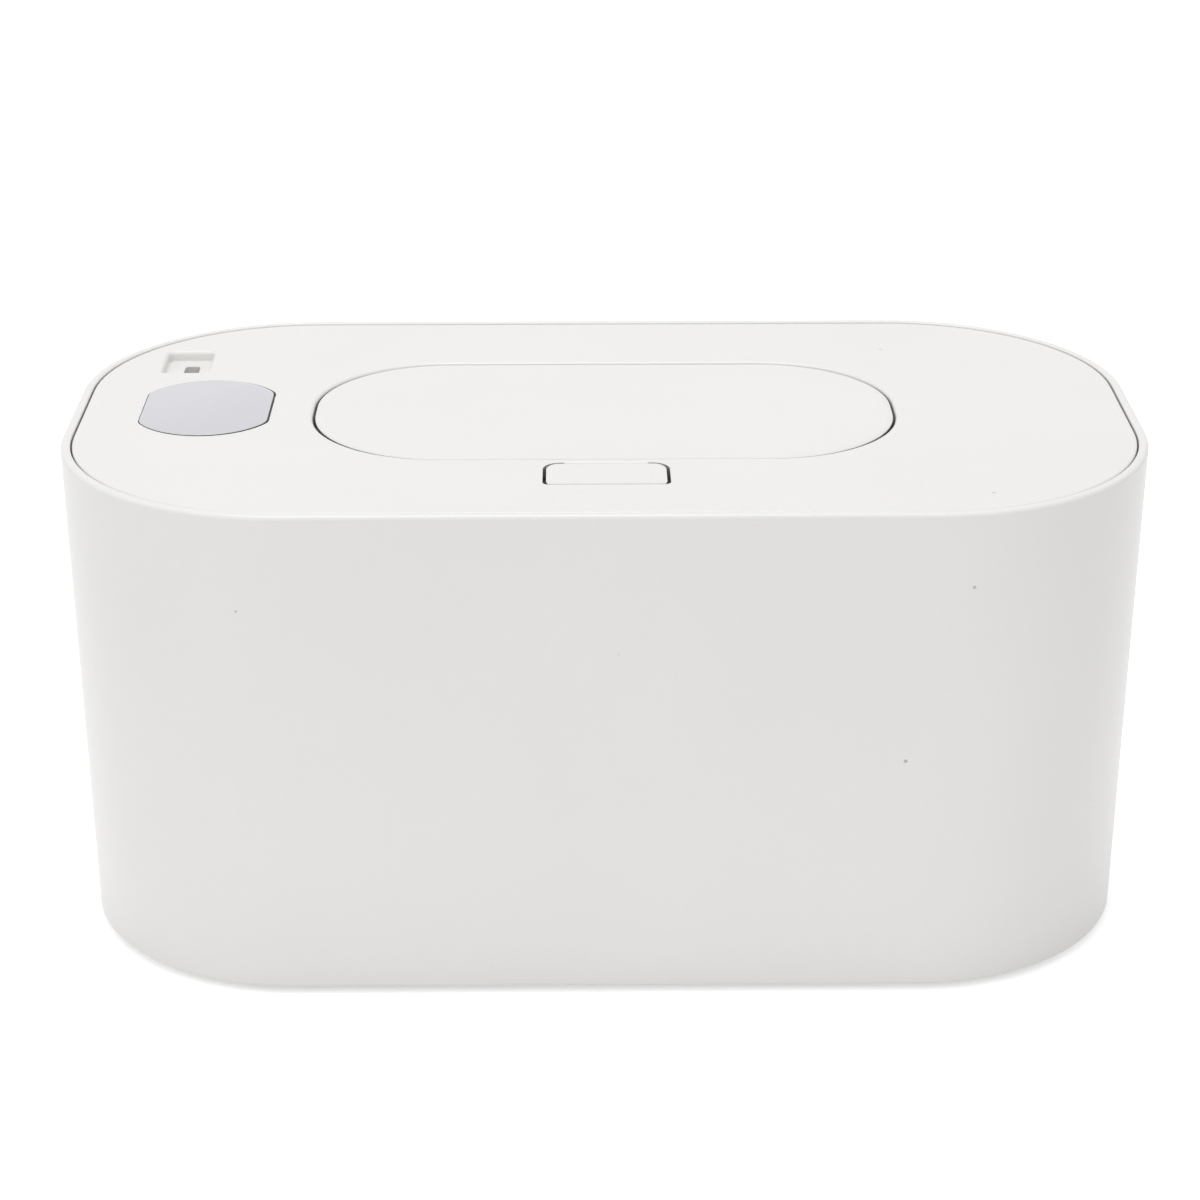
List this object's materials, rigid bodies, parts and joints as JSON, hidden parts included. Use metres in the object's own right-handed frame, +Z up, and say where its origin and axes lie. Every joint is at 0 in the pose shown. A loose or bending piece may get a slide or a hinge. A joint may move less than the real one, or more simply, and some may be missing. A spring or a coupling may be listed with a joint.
{
  "type": "baby wipe warmer",
  "caption": "Rounded rectangular wipe warmer with a lift-off heated lid, a sprung hinged flap over the wipe outlet, a push button latch, a display lens and a socket recess.",
  "frame": {"origin": "on the table under the middle of the housing, level with the undersides of the feet", "axes": "+X along the length towards the plain end, +Y to the hinge side, +Z up; the button faces -Y"},
  "size_m": [0.201, 0.111, 0.0954],
  "materials": {
    "shell_white": "satin moulded ABS",
    "inner_white": "satin moulded polypropylene",
    "foam": "closed-cell foam",
    "rubber_grey": "matt",
    "screw_steel": "zinc plated",
    "silicone_white": "soft silicone",
    "heater_aluminium": "satin anodised",
    "film_amber": "polyimide film",
    "part_black": "moulded epoxy",
    "part_steel": "tinned",
    "lead_red": "silicone insulation",
    "board_green": "solder mask",
    "connector_ivory": "moulded nylon",
    "lens_grey": "glossy tinted acrylic",
    "spring_steel": "bright wire",
    "latch_white": "acetal"
  },
  "bodies": {
    "base": {"outer_shell": "shell_white", "inner_tub": "inner_white", "insulation_sleeve": "foam", "bottom_cover": "inner_white", "rubber_feet": "rubber_grey", "base_screws": "screw_steel"},
    "lid": {"lid_cover": "shell_white", "lid_underplate": "inner_white", "lid_gasket": "silicone_white", "lid_screws": "screw_steel", "wipe_outlet": "silicone_white", "heater_plate": "heater_aluminium", "heating_film": "film_amber", "heater_pad": "foam", "heater_screws": "screw_steel", "thermistor": "part_black", "thermal_fuse": "part_steel", "heater_leads": "lead_red", "main_board": "board_green", "board_components": "part_black", "heater_connector": "connector_ivory", "board_screws": "screw_steel", "usb_socket": "part_steel", "display_lens": "lens_grey", "display_module": "part_black", "touch_spring": "spring_steel", "hinge_pin": "part_steel", "flap_spring": "spring_steel", "latch_spring": "spring_steel"},
    "flap": {"flap": "shell_white", "flap_seal": "silicone_white"},
    "button": {"release_button": "shell_white"},
    "latch": {"latch_slider": "latch_white"}
  },
  "joints": [
    {"name": "lid_lift", "type": "slide", "parent": "base", "child": "lid", "axis": [0, 0, 1], "range_m": [0, 0.12]},
    {"name": "flap_open", "type": "hinge", "parent": "lid", "child": "flap", "pos_m": [0, 0.0328, 0.0918], "axis": [-1, 0, 0], "range_deg": [0, 100]},
    {"name": "button_press", "type": "slide", "parent": "lid", "child": "button", "axis": [0, 0, -1], "range_m": [0, 0.0016], "stiffness_N_per_m": 400, "springref_m": -0.002},
    {"name": "latch_slide", "type": "slide", "parent": "lid", "child": "latch", "axis": [0, -1, 0], "range_m": [0, 0.0016], "deforming": ["latch_spring"]}
  ],
  "couplings": [
    {"joint": "latch_slide", "follows": "button_press", "ratio": 1}
  ]
}
